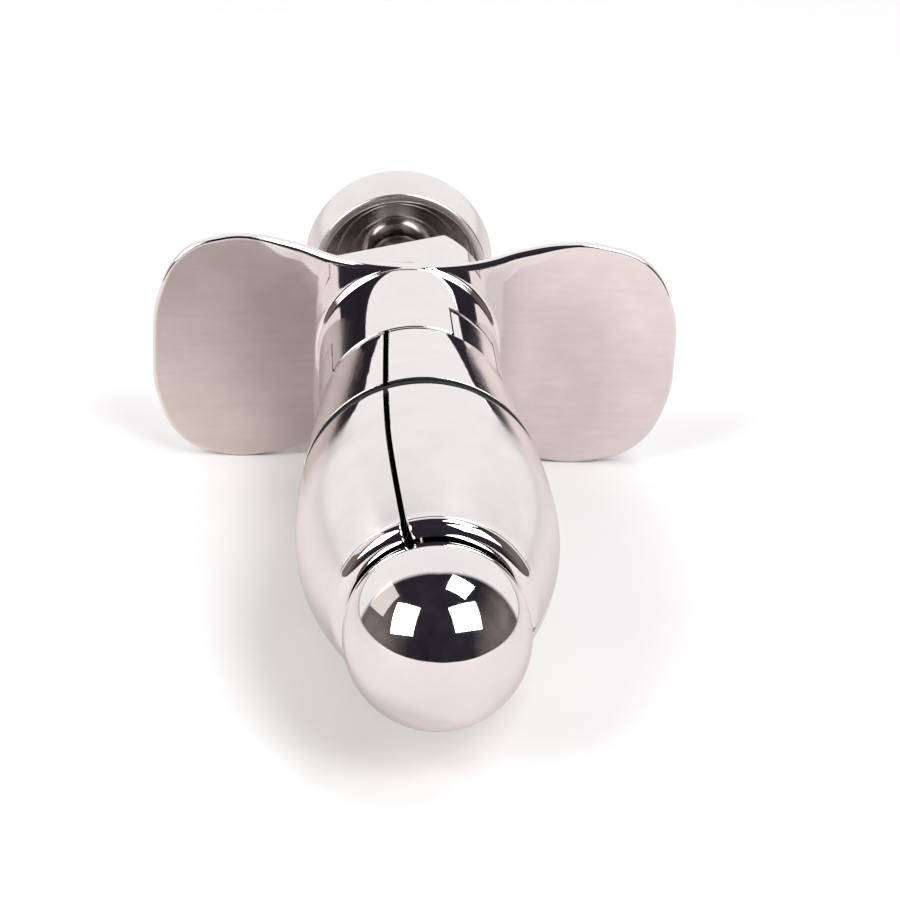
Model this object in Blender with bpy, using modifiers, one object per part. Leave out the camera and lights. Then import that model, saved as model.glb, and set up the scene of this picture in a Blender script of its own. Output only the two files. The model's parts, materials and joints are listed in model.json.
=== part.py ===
"""Screw-opened expanding plug: a polished nose ball on a drive rod, three hinged petals, a winged barrel and a
cup knob. Stations run along the axis from the centre of the ball to the knob. All lengths are in metres."""

import math

import bmesh
import bpy
import numpy as np
from mathutils import Matrix, Vector

# Placing: the axis lies along +Y, the nose points to -Y and the wings lie along X.
MIDDLE_STATION = 0.07475
WING_HALF_HEIGHT = 0.0212
AXIS_HEIGHT = WING_HALF_HEIGHT
AXIS_OFFSET = 0.0014

# Clearances
GAP = 0.0003
PETAL_GAP = 0.0008
CAVITY_CLEARANCE = 0.00035
JOINT_GAP = 0.0005

# Motion
TRAVEL = 0.024
OPENING = math.radians(9.6)

# Nose ball and drive rod
BALL_RADIUS = 0.0135
BALL_FLAT = 0.0116
SPIGOT_RADIUS = 0.003
SPIGOT_FRONT = 0.0023
ROD_RADIUS = 0.006
ROD_BORE = 0.0044
ROD_BORE_FRONT = 0.064
NUT_FRONT = 0.093
NUT_REAR = 0.0997
NUT_RADIUS = 0.0092
NUT_SEAT = 0.003

# Petals
FIRST_PETAL_ANGLE = 49.8
PETAL_ANGLES = {
    "upper_right": FIRST_PETAL_ANGLE,
    "left": FIRST_PETAL_ANGLE + 120,
    "lower_right": FIRST_PETAL_ANGLE + 240,
}
LIP_STATION = 0.00795
LIP_CENTRE_RADIUS = 0.01293
LIP_RADIUS = 0.0022
BULB_FRONT = 0.0076
BULB_FRONT_RADIUS = 0.01505
BULB_STATION = 0.031
BULB_RADIUS = 0.0201
GROOVE_FRONT = 0.0462
GROOVE_REAR = 0.0491
GROOVE_FLOOR = 0.0165
GROOVE_FRONT_RADIUS = 0.0195
GROOVE_REAR_RADIUS = 0.0193
NECK_REAR = 0.0788
NECK_REAR_RADIUS = 0.016
PETAL_BORE = 0.0066
TONGUE_REAR = 0.0906
TONGUE_INNER = 0.0105
TONGUE_OUTER = 0.0161
TONGUE_HALF_WIDTH = 0.005

# Hinges
HINGE_STATION = 0.085
HINGE_RADIUS = 0.0128
PIN_RADIUS = 0.0012
PIN_HALF_LENGTH = 0.0068

# Closing ring
RING_RADIUS = 0.018
RING_SECTION = 0.0012

# Barrel
BARREL_FRONT = NECK_REAR + JOINT_GAP
BARREL_RADIUS = 0.0161
BARREL_REAR = 0.129
BARREL_REAR_RADIUS = 0.0167
BARREL_BORE = 0.0095
BARREL_SHOULDER = 0.124
BARREL_COUNTERBORE = 0.0125
BARREL_CHAMFER = 0.0003
POCKET_REAR = 0.0913
POCKET_SIDE_GAP = 0.00025
FLAT_ANGLE = 103
FLAT_DISTANCE = 0.0131
FLAT_FRONT = 0.1125

# Wing plate and its welds
PLATE_FRONT = 0.1077
PLATE_THICKNESS = 0.0023
PLATE_EDGE = 0.0005
WING_HALF_SPAN = 0.0472
LOBE_CENTRE = 0.028
HUB_HALF_HEIGHT = 0.0163
SEAT_RADIUS = 0.0146
SEAT_FRONT = 0.1062
SEAT_REAR = 0.1115
HUB_RELIEF_RADIUS = 0.0178
HUB_RELIEF_DEPTH = 0.0001

# Spindle and its bearing
SPINDLE_FRONT = 0.091
SPINDLE_RADIUS = 0.004
SPINDLE_REAR = 0.1594
COLLAR_FRONT = 0.1256
COLLAR_REAR = 0.127
COLLAR_RADIUS = 0.008
GLAND_REAR = 0.1305
SHAFT_HOLE = 0.0043

# Guide bush, key and set screws
BUSH_FRONT = 0.0798
BUSH_REAR = 0.0868
CLIP_THICKNESS = 0.001
KEY_ANGLE = 270
KEY_WIDTH = 0.003
KEY_INNER = 0.0076
KEY_FRONT = 0.092
KEY_REAR = 0.1237
KEY_SCREWS = {"front": 0.0975, "rear": 0.1185}
KEY_SCREW_RADIUS = 0.0014
SET_SCREW_RADIUS = 0.0007

# Knob
KNOB_FRONT = 0.1465
KNOB_RIM_RADIUS = 0.0169
KNOB_RADIUS = 0.0185
KNOB_WIDEST = 0.156
KNOB_REAR = 0.163
KNOB_REAR_FLAT = 0.009
KNOB_WALL = 0.0017
KNOB_FLOOR = 0.1565
KNOB_STEPS = ((0.0125, 0.1535), (0.0095, 0.1552))
BOSS_STATION = 0.1516
BOSS_RADIUS = 0.0065
CAP_SCREW_RADIUS = 0.0045

ROUND_STEPS = 36
SMALL_STEPS = 20
FRAME = Matrix.Translation((-AXIS_OFFSET, -MIDDLE_STATION, AXIS_HEIGHT)) @ Matrix.Rotation(-math.pi / 2, 4, "X")


def clear_scene():
    for item in list(bpy.data.objects):
        bpy.data.objects.remove(item, do_unlink=True)


def collection(name):
    group = bpy.data.collections.new(name)
    bpy.context.scene.collection.children.link(group)
    return group


def material(name, colour, metallic, roughness):
    mat = bpy.data.materials.new(name)
    mat.use_nodes = True
    shader = mat.node_tree.nodes["Principled BSDF"]
    shader.inputs["Base Color"].default_value = (*colour, 1)
    shader.inputs["Metallic"].default_value = metallic
    shader.inputs["Roughness"].default_value = roughness
    return mat


def add_object(name, mesh, mat=None, angle=0.0, centre=(0, 0, 0)):
    """Puts a mesh, modelled with the axis as its local Z, at a world angle round the axis."""
    item = bpy.data.objects.new(name, mesh)
    item.matrix_world = FRAME @ Matrix.Rotation(-math.radians(angle), 4, "Z") @ Matrix.Translation(centre)
    if mat is None:
        item.hide_render = True
        item.display_type = "WIRE"
        CUTTERS.objects.link(item)
    else:
        mesh.materials.append(mat)
        PARTS.objects.link(item)
    return item


def turned(name, profile, mat=None, steps=ROUND_STEPS, closed=False, angle=0.0, centre=(0, 0, 0)):
    """Turns a (radius, station) profile, which runs down its outer side from the rear, round the axis."""
    mesh = bpy.data.meshes.new(name)
    points = [(radius, 0, station) for radius, station in profile]
    edges = [(i, i + 1) for i in range(len(points) - 1)]
    if closed:
        edges.append((len(points) - 1, 0))
    mesh.from_pydata(points, edges, [])
    item = add_object(name, mesh, mat, angle, centre)
    screw = item.modifiers.new("turn", "SCREW")
    screw.steps = steps
    screw.render_steps = steps
    screw.use_merge_vertices = True
    screw.merge_threshold = 0.00001
    screw.use_smooth_shade = False
    return item


def ring_profile(inner, outer, front, rear):
    return [(outer, rear), (outer, front), (inner, front), (inner, rear)]


def rod_profile(radius, front, rear):
    return [(0, rear), (radius, rear), (radius, front), (0, front)]


def arc(centre_station, centre_radius, radius, start, end, count):
    """Points on an arc whose angles, in degrees, run from the rear (0) over the outside (90) to the front."""
    angles = np.radians(np.linspace(start, end, count))
    return [(centre_radius + radius * math.sin(a), centre_station + radius * math.cos(a)) for a in angles]


def box(name, low, high, mat=None, angle=0.0):
    """A box in (outward, sideways, station), turned to a world angle round the axis."""
    low, high = Vector(low), Vector(high)
    shape = bmesh.new()
    bmesh.ops.create_cube(shape, size=1)
    bmesh.ops.scale(shape, vec=high - low, verts=shape.verts)
    bmesh.ops.translate(shape, vec=(low + high) / 2, verts=shape.verts)
    return add_object(name, to_mesh(name, shape), mat, angle)


def cylinder(name, radius, start, end, mat=None, angle=0.0, steps=SMALL_STEPS):
    """A cylinder between two points given as (outward, sideways, station)."""
    start, end = Vector(start), Vector(end)
    run = end - start
    shape = bmesh.new()
    bmesh.ops.create_cone(
        shape, cap_ends=True, segments=steps, radius1=radius, radius2=radius, depth=run.length
    )
    turn = Vector((0, 0, 1)).rotation_difference(run).to_matrix()
    bmesh.ops.rotate(shape, cent=(0, 0, 0), matrix=turn, verts=shape.verts)
    bmesh.ops.translate(shape, vec=(start + end) / 2, verts=shape.verts)
    return add_object(name, to_mesh(name, shape), mat, angle)


def to_mesh(name, shape):
    mesh = bpy.data.meshes.new(name)
    shape.to_mesh(mesh)
    shape.free()
    return mesh


def combine(item, other, operation):
    boolean = item.modifiers.new(other.name, "BOOLEAN")
    boolean.operation = operation
    boolean.solver = "EXACT"
    boolean.object = other


def cut(item, *cutters):
    for cutter in cutters:
        combine(item, cutter, "DIFFERENCE")


def ball_cavity(station):
    """The radius that a petal's inside needs at a station so that the ball clears it all through the travel.

    The ball's centre is followed in the petal's own frame while the petal swings out in step with the rod. A
    petal reaches 60 degrees to each side, and its side edges come nearest to the ball.
    """
    need = PETAL_BORE
    for travelled in np.linspace(0, TRAVEL, 49):
        swing = OPENING * travelled / TRAVEL
        lever = HINGE_STATION - travelled
        below = lever * math.sin(swing) - HINGE_RADIUS * (1 - math.cos(swing))
        centre = HINGE_STATION - lever * math.cos(swing) + HINGE_RADIUS * math.sin(swing)
        chord = BALL_RADIUS**2 - (station - centre) ** 2 - 0.75 * below**2
        if chord > 0:
            need = max(need, math.sqrt(chord) - below / 2 + CAVITY_CLEARANCE)
    return need


def neck_radius(station):
    along = (NECK_REAR - station) / (NECK_REAR - GROOVE_REAR)
    fullness = 0.15 * along * (1 - along)
    return NECK_REAR_RADIUS + (GROOVE_REAR_RADIUS - NECK_REAR_RADIUS) * (along + fullness)


def bulb_radius(station):
    if station > BULB_STATION:
        along = (station - BULB_STATION) / (GROOVE_FRONT - BULB_STATION)
        return BULB_RADIUS - (BULB_RADIUS - GROOVE_FRONT_RADIUS) * along**2
    along = (BULB_STATION - station) / (BULB_STATION - BULB_FRONT)
    return BULB_FRONT_RADIUS + (BULB_RADIUS - BULB_FRONT_RADIUS) * math.cos(along * math.pi / 2)


def petal_profile():
    outline = [(TONGUE_OUTER, TONGUE_REAR), (TONGUE_OUTER, NECK_REAR)]
    outline += [(neck_radius(s), s) for s in np.linspace(NECK_REAR - 0.0001, GROOVE_REAR, 5)]
    outline += [(GROOVE_FLOOR, GROOVE_REAR), (GROOVE_FLOOR, GROOVE_FRONT)]
    outline += [(bulb_radius(s), s) for s in np.linspace(GROOVE_FRONT, BULB_FRONT, 10)]
    lip = arc(LIP_STATION, LIP_CENTRE_RADIUS, LIP_RADIUS, 118, 200, 12)
    outline += [(radius, s) for radius, s in lip if radius > ball_cavity(s)]
    mouth = outline[-1][1]
    outline += [(ball_cavity(s), s) for s in np.linspace(mouth, BULB_STATION, 6)[1:]]
    outline += [(PETAL_BORE, NECK_REAR), (TONGUE_INNER, NECK_REAR), (TONGUE_INNER, TONGUE_REAR)]
    return outline


def sector_prism(name, angle):
    """A prism 120 degrees wide round a petal's middle, set outward so that half of each gap stays free."""
    reach = 0.05
    offset = PETAL_GAP / 2 / math.sin(math.radians(60))
    shape = bmesh.new()
    bmesh.ops.create_cube(shape, size=1)
    for vert in shape.verts:
        far = vert.co.x > 0
        side = math.copysign(1, vert.co.y)
        vert.co.x = reach if far else 0
        vert.co.y = side * reach * math.tan(math.radians(60)) if far else 0
        vert.co.z = -0.02 if vert.co.z < 0 else 0.12
        vert.co.x += offset
    bmesh.ops.remove_doubles(shape, verts=shape.verts, dist=0.000001)
    bmesh.ops.recalc_face_normals(shape, faces=shape.faces)
    return add_object(name, to_mesh(name, shape), None, angle)


def make_petal(where, angle, steel):
    petal = turned(f"petal_{where}", petal_profile(), steel, closed=True, angle=angle)
    combine(petal, sector_prism(f"sector_{where}", angle), "INTERSECT")
    for side in (-1, 1):
        edges = sorted((side * TONGUE_HALF_WIDTH, side * 0.02))
        shoulder = box(
            f"tongue_side_{where}_{'left' if side < 0 else 'right'}",
            (-0.001, edges[0], NECK_REAR),
            (0.02, edges[1], TONGUE_REAR + 0.002),
            angle=angle,
        )
        cut(petal, shoulder)
    cut(petal, hinge_cylinder(f"petal_pin_hole_{where}", PIN_RADIUS + GAP, 0.012, None, angle))
    hinge = bpy.data.objects.new(f"hinge_axis_{where}", None)
    PARTS.objects.link(hinge)
    hinge.matrix_world = petal.matrix_world @ Matrix.Translation((HINGE_RADIUS, 0, HINGE_STATION))
    bpy.context.view_layer.update()
    petal.parent = hinge
    petal.matrix_parent_inverse = hinge.matrix_world.inverted()


def hinge_cylinder(name, radius, half_length, mat, angle):
    ends = [(HINGE_RADIUS, side * half_length, HINGE_STATION) for side in (-1, 1)]
    return cylinder(name, radius, ends[0], ends[1], mat, angle)


def make_ball(steel):
    hole = SPIGOT_RADIUS + GAP
    start = math.degrees(math.acos(BALL_FLAT / BALL_RADIUS))
    profile = [(0, SPIGOT_FRONT - GAP), (hole, SPIGOT_FRONT - GAP), (hole, BALL_FLAT)]
    profile += arc(0, 0, BALL_RADIUS, start, 180, 14)
    profile[-1] = (0, -BALL_RADIUS)
    turned("nose_ball", profile, steel)


def make_rod(steel):
    seat = NUT_FRONT + NUT_SEAT - GAP
    shoulder = BALL_FLAT + GAP
    profile = [
        (0, ROD_BORE_FRONT),
        (ROD_BORE, ROD_BORE_FRONT),
        (ROD_BORE, seat),
        (ROD_RADIUS, seat),
        (ROD_RADIUS, shoulder),
        (SPIGOT_RADIUS, shoulder),
        (SPIGOT_RADIUS, SPIGOT_FRONT),
        (0, SPIGOT_FRONT),
    ]
    rod = turned("drive_rod", profile, steel, SMALL_STEPS)
    hole = cylinder(
        "rod_screw_hole",
        SET_SCREW_RADIUS + GAP,
        (0.001, 0, NUT_FRONT + NUT_SEAT / 2),
        (0.008, 0, NUT_FRONT + NUT_SEAT / 2),
        angle=90,
        steps=12,
    )
    cut(rod, hole)


def make_nut(bronze, steel):
    profile = [
        (NUT_RADIUS, NUT_REAR),
        (NUT_RADIUS, NUT_FRONT),
        (ROD_RADIUS + GAP, NUT_FRONT),
        (ROD_RADIUS + GAP, NUT_FRONT + NUT_SEAT),
        (SHAFT_HOLE, NUT_FRONT + NUT_SEAT),
        (SHAFT_HOLE, NUT_REAR),
    ]
    nut = turned("drive_nut", profile, bronze, SMALL_STEPS, closed=True)
    notch = box(
        "nut_key_notch",
        (KEY_INNER - GAP, -KEY_WIDTH / 2 - GAP, NUT_FRONT - 0.001),
        (0.012, KEY_WIDTH / 2 + GAP, NUT_REAR + 0.001),
        angle=KEY_ANGLE,
    )
    at = NUT_FRONT + NUT_SEAT / 2
    hole = cylinder(
        "nut_screw_hole", SET_SCREW_RADIUS + GAP, (0.005, 0, at), (0.011, 0, at), angle=90, steps=12
    )
    cut(nut, notch, hole)
    cylinder(
        "nut_set_screw", SET_SCREW_RADIUS, (0.0048, 0, at), (0.009, 0, at), steel, angle=90, steps=12
    )


def make_barrel(steel):
    chamfer = BARREL_CHAMFER
    profile = [
        (BARREL_REAR_RADIUS - chamfer, BARREL_REAR),
        (BARREL_REAR_RADIUS, BARREL_REAR - chamfer),
        (BARREL_RADIUS, FLAT_FRONT),
        (BARREL_RADIUS, SEAT_REAR),
        (SEAT_RADIUS, SEAT_REAR),
        (SEAT_RADIUS, SEAT_FRONT),
        (BARREL_RADIUS, SEAT_FRONT),
        (BARREL_RADIUS, BARREL_FRONT + chamfer),
        (BARREL_RADIUS - chamfer, BARREL_FRONT),
        (BARREL_BORE, BARREL_FRONT),
        (BARREL_BORE, BARREL_SHOULDER),
        (BARREL_COUNTERBORE, BARREL_SHOULDER),
        (BARREL_COUNTERBORE, BARREL_REAR),
    ]
    barrel = turned("barrel", profile, steel, closed=True)
    half_pocket = TONGUE_HALF_WIDTH + POCKET_SIDE_GAP
    for where, angle in PETAL_ANGLES.items():
        pocket = box(
            f"pocket_{where}",
            (0.008, -half_pocket, BARREL_FRONT - 0.002),
            (0.02, half_pocket, POCKET_REAR),
            angle=angle,
        )
        hole = hinge_cylinder(
            f"barrel_pin_hole_{where}", PIN_RADIUS + GAP, PIN_HALF_LENGTH + GAP, None, angle
        )
        cut(barrel, pocket, hole)
    flat = box(
        "barrel_flat_cutter",
        (FLAT_DISTANCE, -0.02, FLAT_FRONT),
        (0.03, 0.02, BARREL_REAR + 0.002),
        angle=FLAT_ANGLE,
    )
    cut(barrel, flat)
    for where, at in KEY_SCREWS.items():
        hole = cylinder(
            f"barrel_screw_hole_{where}",
            KEY_SCREW_RADIUS + GAP,
            (0.008, 0, at),
            (0.02, 0, at),
            angle=KEY_ANGLE,
            steps=12,
        )
        cut(barrel, hole)


def make_key(steel):
    box(
        "rotation_key",
        (KEY_INNER, -KEY_WIDTH / 2, KEY_FRONT),
        (NUT_RADIUS, KEY_WIDTH / 2, KEY_REAR),
        steel,
        KEY_ANGLE,
    )
    for where, at in KEY_SCREWS.items():
        tip = NUT_RADIUS + GAP
        cylinder(
            f"key_screw_{where}",
            KEY_SCREW_RADIUS,
            (tip, 0, at),
            (BARREL_RADIUS - 0.0005, 0, at),
            steel,
            KEY_ANGLE,
            12,
        )


def make_bush(bronze, steel):
    turned("guide_bush", ring_profile(ROD_RADIUS + GAP, NUT_RADIUS, BUSH_FRONT, BUSH_REAR), bronze, closed=True)
    front = BUSH_REAR + GAP
    profile = ring_profile(0.007, NUT_RADIUS, front, front + CLIP_THICKNESS)
    clip = turned("bush_circlip", profile, steel, closed=True)
    slot = box("circlip_slot", (0.004, -0.0015, front - 0.001), (0.012, 0.0015, front + 0.003), angle=0)
    cut(clip, slot)


def half_outline(side):
    """Half of the plate's outline, from the top of the hub round a lobe to the bottom. The right lobe (side 1) is
    a little longer than the left one (side -1)."""
    quarter = [
        (0.0, HUB_HALF_HEIGHT),
        (0.0065, HUB_HALF_HEIGHT + 0.0001),
        (0.013, 0.0174),
        (0.0202, 0.0197),
        (LOBE_CENTRE, WING_HALF_HEIGHT - 0.0001),
        (0.034, 0.0208),
        (0.0415, 0.0178),
        (0.0462, 0.0097),
        (WING_HALF_SPAN, 0.0),
    ]
    stretch = side * AXIS_OFFSET / (WING_HALF_SPAN - LOBE_CENTRE)
    quarter = [(x + stretch * max(0, x - LOBE_CENTRE), y) for x, y in quarter]
    return quarter + [(x, -y) for x, y in reversed(quarter[:-1])]


def make_wings(steel):
    outline = half_outline(1) + [(-x, y) for x, y in reversed(half_outline(-1)[1:-1])]
    curve = bpy.data.curves.new("wing_outline", "CURVE")
    curve.dimensions = "2D"
    curve.fill_mode = "BOTH"
    curve.extrude = PLATE_THICKNESS / 2 - PLATE_EDGE
    curve.bevel_depth = PLATE_EDGE
    curve.offset = -PLATE_EDGE
    curve.bevel_resolution = 0
    curve.resolution_u = 4
    spline = curve.splines.new("BEZIER")
    spline.bezier_points.add(len(outline) - 1)
    for point, (x, y) in zip(spline.bezier_points, outline):
        point.co = (x, y, 0)
        point.handle_left_type = "AUTO"
        point.handle_right_type = "AUTO"
    spline.use_cyclic_u = True
    flat = bpy.data.objects.new("wing_curve", curve)
    CUTTERS.objects.link(flat)
    bpy.context.view_layer.update()
    mesh = bpy.data.meshes.new_from_object(flat.evaluated_get(bpy.context.evaluated_depsgraph_get()))
    bpy.data.objects.remove(flat, do_unlink=True)
    shape = bmesh.new()
    shape.from_mesh(mesh)
    bmesh.ops.remove_doubles(shape, verts=shape.verts, dist=0.00001)
    bmesh.ops.translate(shape, vec=(0, 0, PLATE_FRONT + PLATE_THICKNESS / 2), verts=shape.verts)
    bmesh.ops.recalc_face_normals(shape, faces=shape.faces)
    shape.to_mesh(mesh)
    shape.free()
    mesh.name = "wing_plate"
    mesh.materials.clear()
    plate = add_object("wing_plate", mesh, steel)
    hole = rod_profile(SEAT_RADIUS + GAP, PLATE_FRONT - 0.002, PLATE_FRONT + 0.005)
    cut(plate, turned("plate_hole_cutter", hole))
    front = PLATE_FRONT + HUB_RELIEF_DEPTH
    rear = PLATE_FRONT + PLATE_THICKNESS - HUB_RELIEF_DEPTH
    for where, start, end in (("front", front - 0.002, front), ("rear", rear, rear + 0.002)):
        cut(plate, turned(f"hub_relief_{where}", rod_profile(HUB_RELIEF_RADIUS, start, end)))


def make_welds(steel):
    """The two welds lie in the barrel's seat, beside the plate, and are ground flush with the barrel."""
    inside = SEAT_RADIUS + GAP
    plate_rear = PLATE_FRONT + PLATE_THICKNESS
    turned(
        "weld_bead_front",
        ring_profile(inside, BARREL_RADIUS, SEAT_FRONT + GAP, PLATE_FRONT - GAP),
        steel,
        closed=True,
    )
    turned(
        "weld_bead_rear",
        ring_profile(inside, BARREL_RADIUS, plate_rear + GAP, SEAT_REAR - GAP),
        steel,
        closed=True,
    )


def make_bearing(bronze, steel):
    washer_front = BARREL_SHOULDER + GAP
    outer = BARREL_COUNTERBORE - GAP
    turned(
        "thrust_washer",
        ring_profile(SHAFT_HOLE, outer, washer_front, COLLAR_FRONT - GAP),
        bronze,
        closed=True,
    )
    gland_front = COLLAR_REAR + GAP
    gland = turned(
        "rear_gland", ring_profile(SHAFT_HOLE, outer, gland_front, GLAND_REAR), steel, closed=True
    )
    for angle in (0, 180):
        hole = cylinder(
            f"gland_spanner_hole_{angle}",
            0.001,
            (0.0085, 0, GLAND_REAR - 0.0015),
            (0.0085, 0, GLAND_REAR + 0.001),
            angle=angle,
            steps=12,
        )
        cut(gland, hole)


def make_spindle(steel):
    profile = [
        (0, SPINDLE_REAR),
        (SPINDLE_RADIUS, SPINDLE_REAR),
        (SPINDLE_RADIUS, COLLAR_REAR),
        (COLLAR_RADIUS, COLLAR_REAR),
        (COLLAR_RADIUS, COLLAR_FRONT),
        (SPINDLE_RADIUS, COLLAR_FRONT),
        (SPINDLE_RADIUS, SPINDLE_FRONT + 0.0006),
        (SPINDLE_RADIUS - 0.0006, SPINDLE_FRONT),
        (0, SPINDLE_FRONT),
    ]
    turned("threaded_spindle", profile, steel, SMALL_STEPS)


def knob_profile():
    recess = KNOB_RIM_RADIUS - KNOB_WALL
    screw_hole = CAP_SCREW_RADIUS + GAP
    seat = SPINDLE_REAR + GAP
    outline = [(screw_hole, KNOB_REAR), (KNOB_REAR_FLAT, KNOB_REAR)]
    drop = KNOB_REAR - KNOB_WIDEST
    for turn in np.radians(np.linspace(15, 75, 5)):
        reach = KNOB_REAR_FLAT + (KNOB_RADIUS - KNOB_REAR_FLAT) * math.sin(turn)
        outline.append((reach, KNOB_WIDEST + drop * math.cos(turn)))
    outline += [(KNOB_RADIUS, KNOB_WIDEST), (KNOB_RIM_RADIUS + 0.0002, KNOB_FRONT + 0.0006)]
    outline += [(KNOB_RIM_RADIUS - 0.0004, KNOB_FRONT), (recess + 0.0003, KNOB_FRONT)]
    outline += [(recess, KNOB_FRONT + 0.0004)]
    reach = recess
    for radius, station in KNOB_STEPS:
        outline += [(reach, station), (radius, station)]
        reach = radius
    outline += [(reach, KNOB_FLOOR), (SHAFT_HOLE, KNOB_FLOOR), (SHAFT_HOLE, seat), (screw_hole, seat)]
    return outline


def make_knob(steel, screw_steel):
    turned("knob_cup", knob_profile(), steel, closed=True)
    start = math.degrees(math.acos((KNOB_FLOOR - GAP - BOSS_STATION) / BOSS_RADIUS))
    end = 180 - math.degrees(math.asin(SHAFT_HOLE / BOSS_RADIUS))
    profile = [(SHAFT_HOLE, KNOB_FLOOR - GAP)]
    profile += arc(BOSS_STATION, 0, BOSS_RADIUS, start, end, 8)
    boss = turned("knob_boss", profile, steel, SMALL_STEPS, closed=True)
    hole = cylinder(
        "boss_screw_hole", SET_SCREW_RADIUS + GAP, (0.003, 0, BOSS_STATION), (0.008, 0, BOSS_STATION),
        angle=0, steps=12,
    )
    cut(boss, hole)
    cylinder(
        "boss_set_screw",
        SET_SCREW_RADIUS,
        (SPINDLE_RADIUS + GAP, 0, BOSS_STATION),
        (BOSS_RADIUS - 0.0002, 0, BOSS_STATION),
        screw_steel,
        0,
        12,
    )
    screw = turned(
        "knob_cap_screw",
        rod_profile(CAP_SCREW_RADIUS, SPINDLE_REAR + 2 * GAP, KNOB_REAR - 0.0002),
        screw_steel,
        SMALL_STEPS,
    )
    socket = turned(
        "cap_screw_socket", rod_profile(0.002, KNOB_REAR - 0.002, KNOB_REAR + 0.001), steps=6
    )
    cut(screw, socket)


def make_ring(rubber):
    bpy.ops.mesh.primitive_torus_add(
        major_radius=RING_RADIUS,
        minor_radius=RING_SECTION,
        major_segments=ROUND_STEPS,
        minor_segments=8,
    )
    made = bpy.context.object
    mesh = made.data
    bpy.data.objects.remove(made, do_unlink=True)
    mesh.name = "closing_ring"
    add_object("closing_ring", mesh, rubber, centre=(0, 0, (GROOVE_FRONT + GROOVE_REAR) / 2))


def main():
    mirror_steel = material("mirror_steel", (0.75, 0.74, 0.73), 1.0, 0.06)
    satin_steel = material("satin_steel", (0.62, 0.58, 0.56), 1.0, 0.38)
    screw_steel = material("screw_steel", (0.45, 0.45, 0.46), 1.0, 0.3)
    bronze = material("bronze", (0.62, 0.42, 0.22), 1.0, 0.35)
    rubber = material("rubber", (0.02, 0.02, 0.022), 0.0, 0.45)
    make_ball(mirror_steel)
    make_rod(mirror_steel)
    make_nut(bronze, screw_steel)
    for where, angle in PETAL_ANGLES.items():
        make_petal(where, angle, mirror_steel)
        hinge_cylinder(f"hinge_pin_{where}", PIN_RADIUS, PIN_HALF_LENGTH, screw_steel, angle)
    make_ring(rubber)
    make_barrel(mirror_steel)
    make_key(screw_steel)
    make_bush(bronze, screw_steel)
    make_wings(satin_steel)
    make_welds(mirror_steel)
    make_bearing(bronze, screw_steel)
    make_spindle(screw_steel)
    make_knob(mirror_steel, screw_steel)


clear_scene()
PARTS = collection("expanding_petal_plug")
CUTTERS = collection("cutters")
main()
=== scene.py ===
import json
import math

import bmesh
import bpy
import numpy as np
from mathutils import Matrix, Vector


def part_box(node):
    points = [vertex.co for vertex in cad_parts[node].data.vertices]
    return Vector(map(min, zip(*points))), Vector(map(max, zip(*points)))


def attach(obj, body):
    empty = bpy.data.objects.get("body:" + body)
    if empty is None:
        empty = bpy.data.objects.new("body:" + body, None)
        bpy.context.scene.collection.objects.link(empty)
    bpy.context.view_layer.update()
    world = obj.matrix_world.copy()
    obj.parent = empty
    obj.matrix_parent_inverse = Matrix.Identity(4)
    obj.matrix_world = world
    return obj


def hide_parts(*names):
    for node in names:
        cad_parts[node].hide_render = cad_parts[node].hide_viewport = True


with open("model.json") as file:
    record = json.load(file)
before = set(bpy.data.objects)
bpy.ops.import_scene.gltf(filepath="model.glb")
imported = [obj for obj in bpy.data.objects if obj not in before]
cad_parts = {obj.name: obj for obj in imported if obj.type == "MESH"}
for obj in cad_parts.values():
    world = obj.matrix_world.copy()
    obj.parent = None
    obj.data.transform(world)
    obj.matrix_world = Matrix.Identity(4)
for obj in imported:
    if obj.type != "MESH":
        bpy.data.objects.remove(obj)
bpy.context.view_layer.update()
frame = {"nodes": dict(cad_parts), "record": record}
MM = 0.001

# Placing, in metres. The axis of the barrel and knob runs along Y through the centre of the ball.
AXIS_X = -1.4 * MM
AXIS_Z = (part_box("wing_plate")[0][2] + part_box("wing_plate")[1][2]) / 2
BALL_RADIUS = 13.5 * MM
NOSE_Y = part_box("nose_ball")[0][1] + BALL_RADIUS

# The other lengths are in millimetres. Stations run along the axis, from the centre of the ball to the knob.
PETALS = {"upper_right": 49.8, "left": 169.8, "lower_right": 289.8}
FLAT_ANGLE = 103
FLAT_DISTANCE = 13.1
SIDE_OFFSET = 0.4
BULB_FRONT = 7.6
BULB_WIDEST = 31.0
BULB_RADIUS = 20.1
BULB_FRONT_RADIUS = 15.05
GROOVE_FRONT = 46.2
GROOVE_REAR = 49.1
GROOVE_RADIUS = 16.5
NECK_REAR = 78.8
LIP_RADIUS = 2.2
LIP_CENTRE_RADIUS = 12.93
LIP_STATION = 7.95
HINGE_STATION = 85.0
HINGE_RADIUS = 12.8
PIN_HOLE_RADIUS = 1.05
ROD_HOLE_RADIUS = 6.6
BALL_CLEARANCE = 0.35
TRAVEL = 24.0
OPENING = math.radians(9.6)
BARREL_FRONT = 79.3
BARREL_REAR = 129.0
BARREL_RADIUS = 16.1
STUB_FRONT = 112.5
STUB_RADIUS = 16.7
PLATE_FRONT = 107.7
PLATE_REAR = 110.0
HUB_EDGE = 16.5
LOBE_LENGTHENING = 1.4
RING_STATION = 47.65
RING_RADIUS = 18.0


def place(radius, angle, station):
    """Row-frame positions, in metres, from a radius, an angle in degrees and a station in millimetres."""
    radius, angle, station = np.broadcast_arrays(radius, np.radians(angle), station)
    x = AXIS_X + radius * np.cos(angle) * MM
    z = AXIS_Z + radius * np.sin(angle) * MM
    return np.stack([x, NOSE_Y + station * MM, z], axis=-1)


def smooth_step(value, low, high):
    t = np.clip((value - low) / (high - low), 0, 1)
    return t * t * (3 - 2 * t)


# ---------------------------------------------------------------- meshes


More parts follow.
